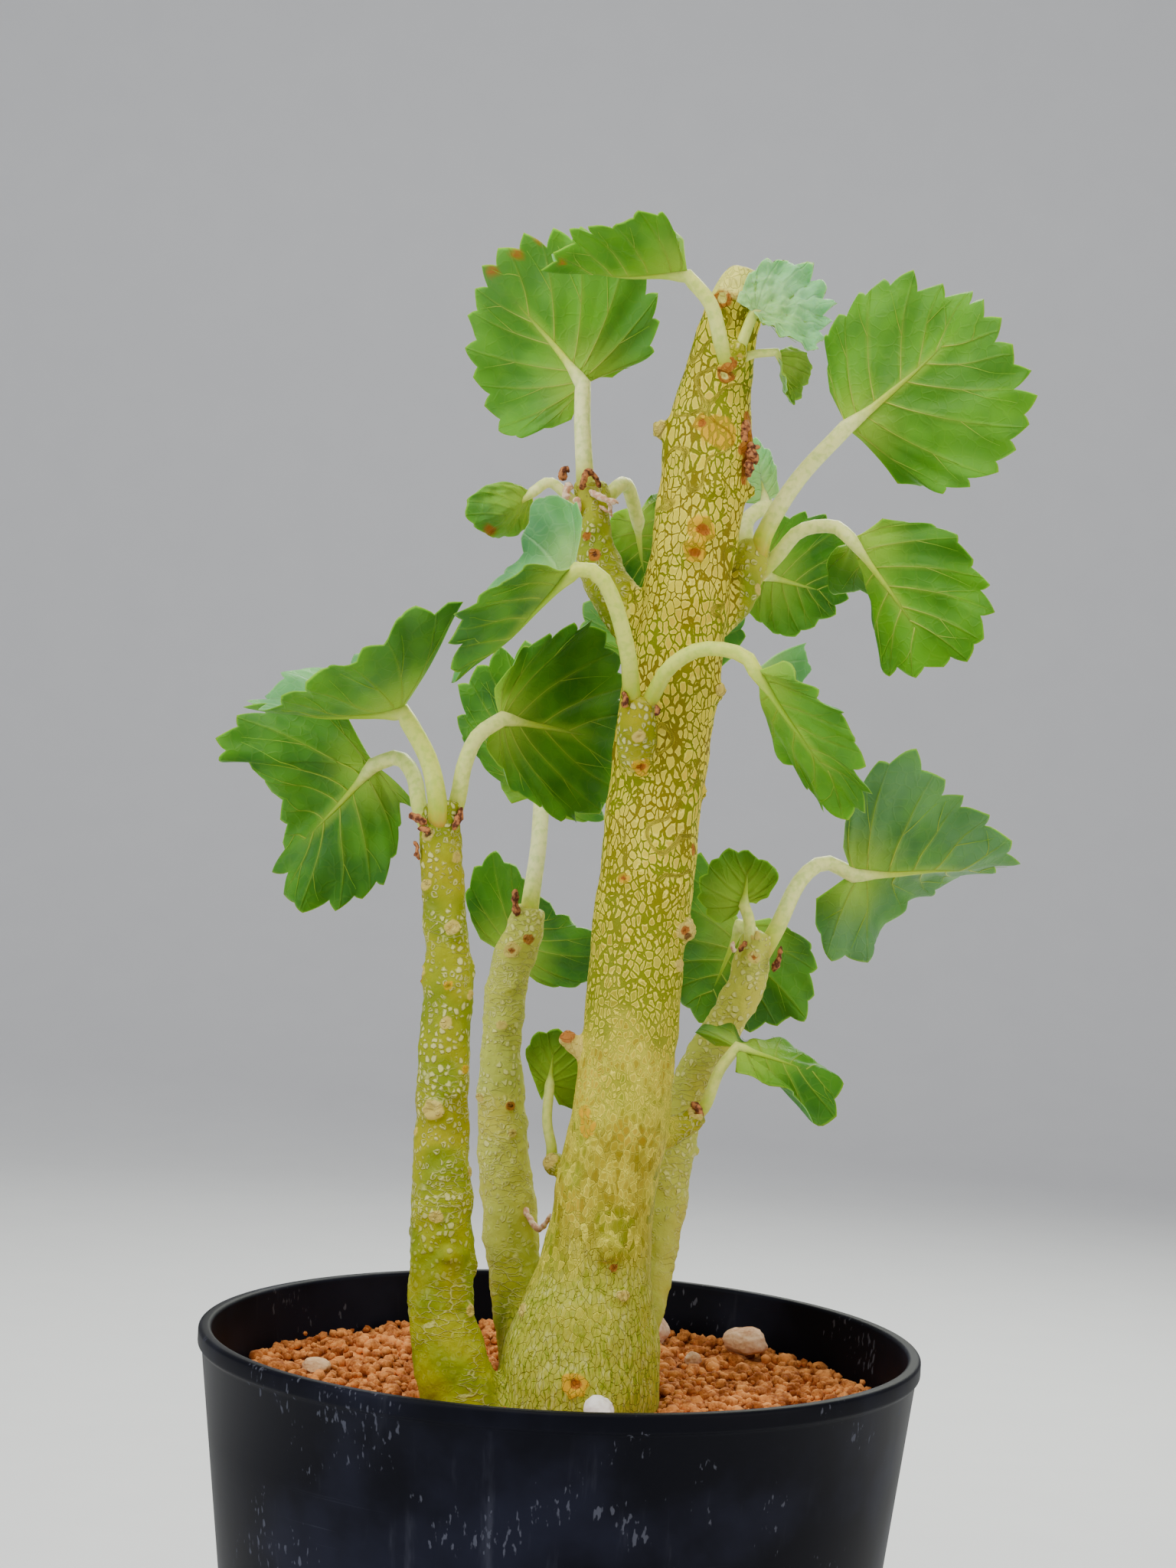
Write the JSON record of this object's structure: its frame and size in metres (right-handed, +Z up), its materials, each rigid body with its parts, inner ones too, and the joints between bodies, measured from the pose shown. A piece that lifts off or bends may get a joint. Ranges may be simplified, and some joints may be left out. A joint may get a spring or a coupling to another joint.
{
  "type": "potted dorstenia",
  "caption": "Fat-stemmed succulent with several upright stems and round toothed leaves, growing in clay grit in a plain round nursery pot.",
  "frame": {"origin": "centre of the pot's underside, on the surface that it stands on", "axes": "+Z up along the pot's axis; the pictured side faces -Y, with +X to its right"},
  "size_m": [0.1407, 0.12, 0.2953],
  "materials": {
    "pot": "moulded black plastic, scuffed, with dried water marks",
    "soil": "crumbly baked clay grains",
    "stone": "dull weathered pebble",
    "bark": "pale corky plates over green",
    "leaf": "soft satin leaf with raised veins"
  },
  "bodies": {
    "root": {"pot": "pot", "soil": "soil", "caudex": "bark", "stone_white_front": "stone", "stone_beige_large": "stone", "stone_pale_rear": "stone", "stone_beige_flat": "stone", "stone_small": "stone", "leaf_branch_upright": "leaf", "leaf_branch_folded": "leaf", "leaf_branch_hanging": "leaf", "leaf_crown_drooping": "leaf", "leaf_crown_crinkled": "leaf", "leaf_crown_curled": "leaf", "leaf_side_large": "leaf", "leaf_side_drooping": "leaf", "leaf_side_shaded": "leaf", "leaf_side_pale": "leaf", "leaf_front_left": "leaf", "leaf_front_right": "leaf", "leaf_left_funnel": "leaf", "leaf_left_wide": "leaf", "leaf_left_inner": "leaf", "leaf_rear_tall": "leaf", "leaf_rear_low": "leaf", "leaf_trunk_rear": "leaf", "leaf_sprout": "leaf", "leaf_right_small": "leaf", "leaf_right_wide": "leaf", "leaf_right_rear": "leaf", "leaf_low_forked": "leaf"}
  },
  "joints": []
}
